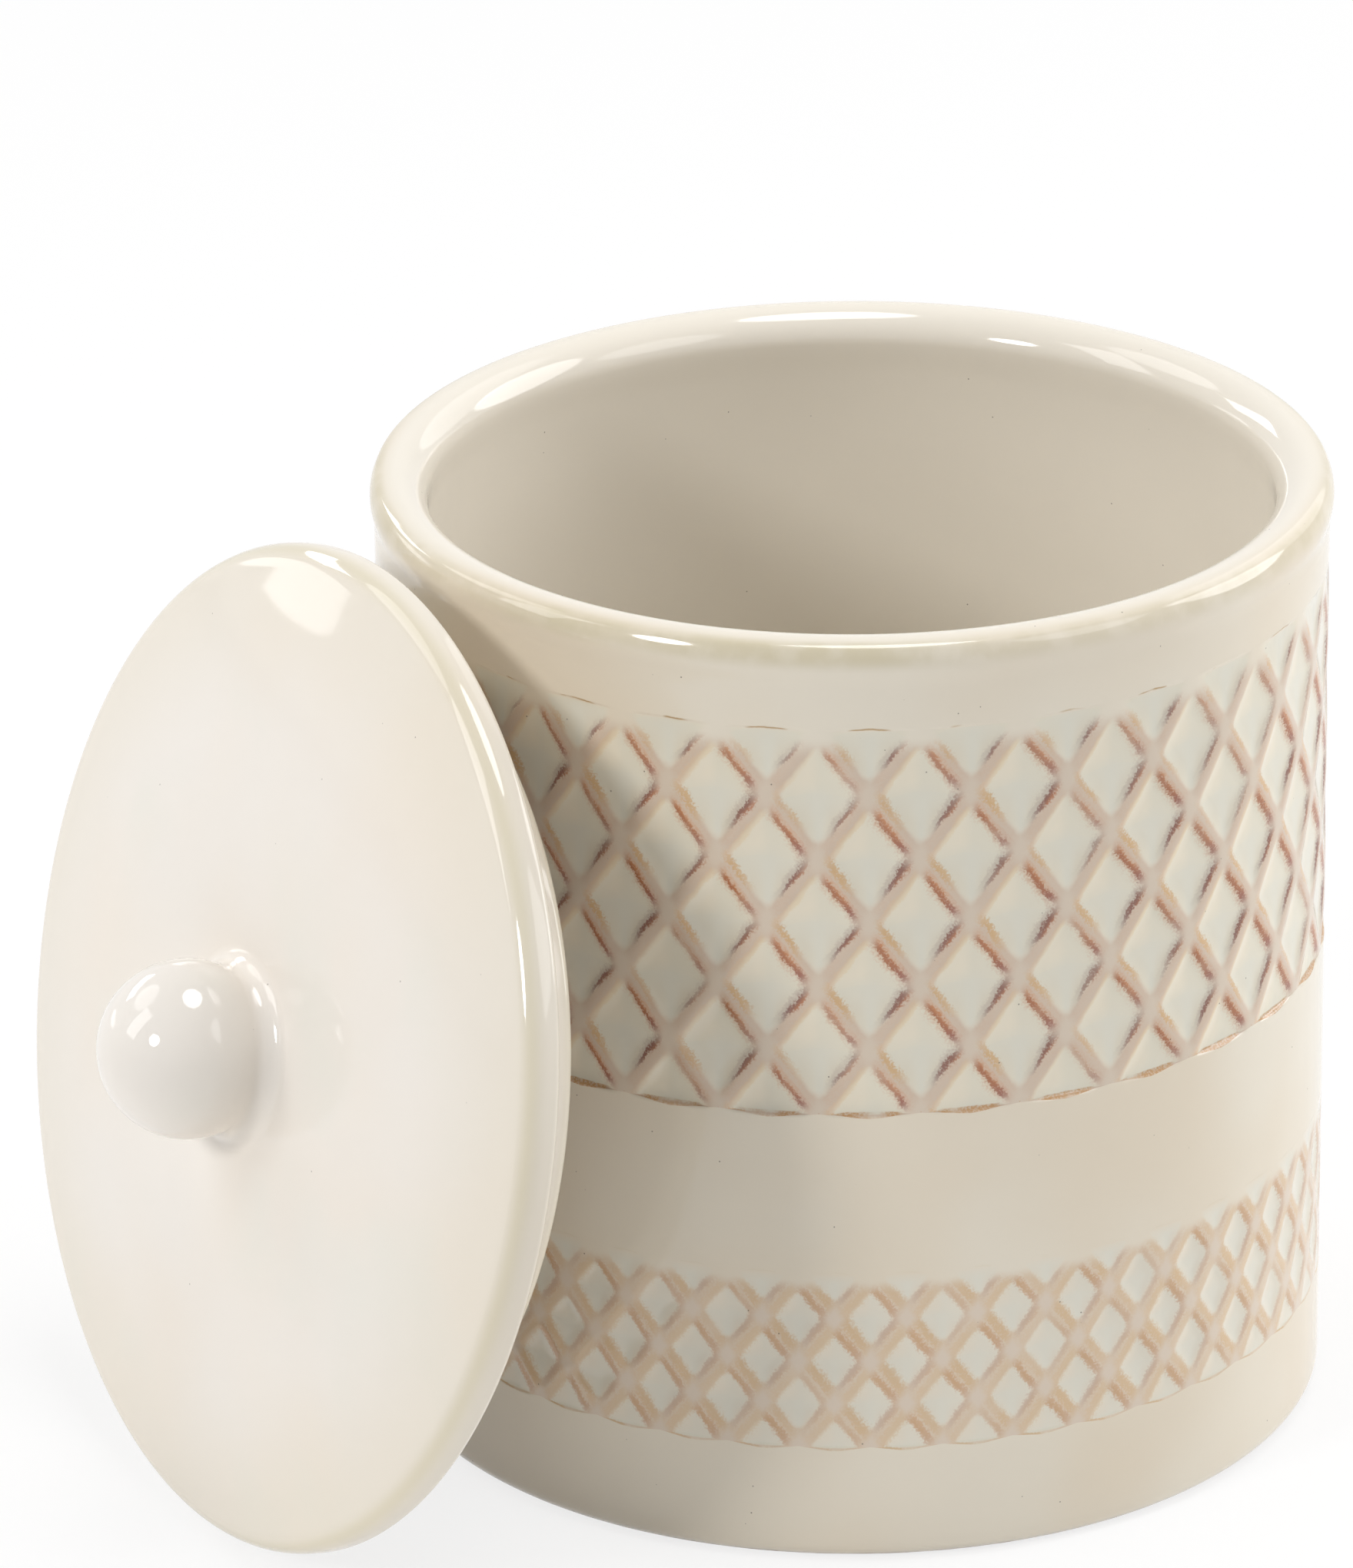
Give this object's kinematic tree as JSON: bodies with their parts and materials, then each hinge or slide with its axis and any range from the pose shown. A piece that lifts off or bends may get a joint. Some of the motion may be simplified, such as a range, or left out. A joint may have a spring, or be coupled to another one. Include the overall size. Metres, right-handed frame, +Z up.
{
  "type": "covered jar",
  "caption": "Cylindrical glazed stoneware jar with bands of raised diamond lattice, and a loose domed lid with a ball knob that leans against it.",
  "frame": {"origin": "centre of the jar's flat base, on the surface that the jar and the lid's rim stand on", "axes": "+Z up the jar's axis; the lid stands at the jar's -X side and leans towards +X"},
  "size_m": [0.1587, 0.1194, 0.1177],
  "materials": {
    "jar_glaze": "glossy cream glaze over warm clay, pooled pale blue-green in the lattice's pockets and broken rust brown on their edges",
    "lid_glaze": "glossy near-white cream glaze with sparse pinholes",
    "knob_glaze": "glossy near-white cream glaze"
  },
  "bodies": {
    "jar": {"jar_body": "jar_glaze"},
    "lid": {"lid": "lid_glaze", "lid_knob": "knob_glaze"}
  },
  "joints": [
    {"name": "lid_lift", "type": "slide", "parent": "jar", "child": "lid", "axis": [-0.2113, 0, 0.9774], "range_m": [0, 0.13]}
  ]
}
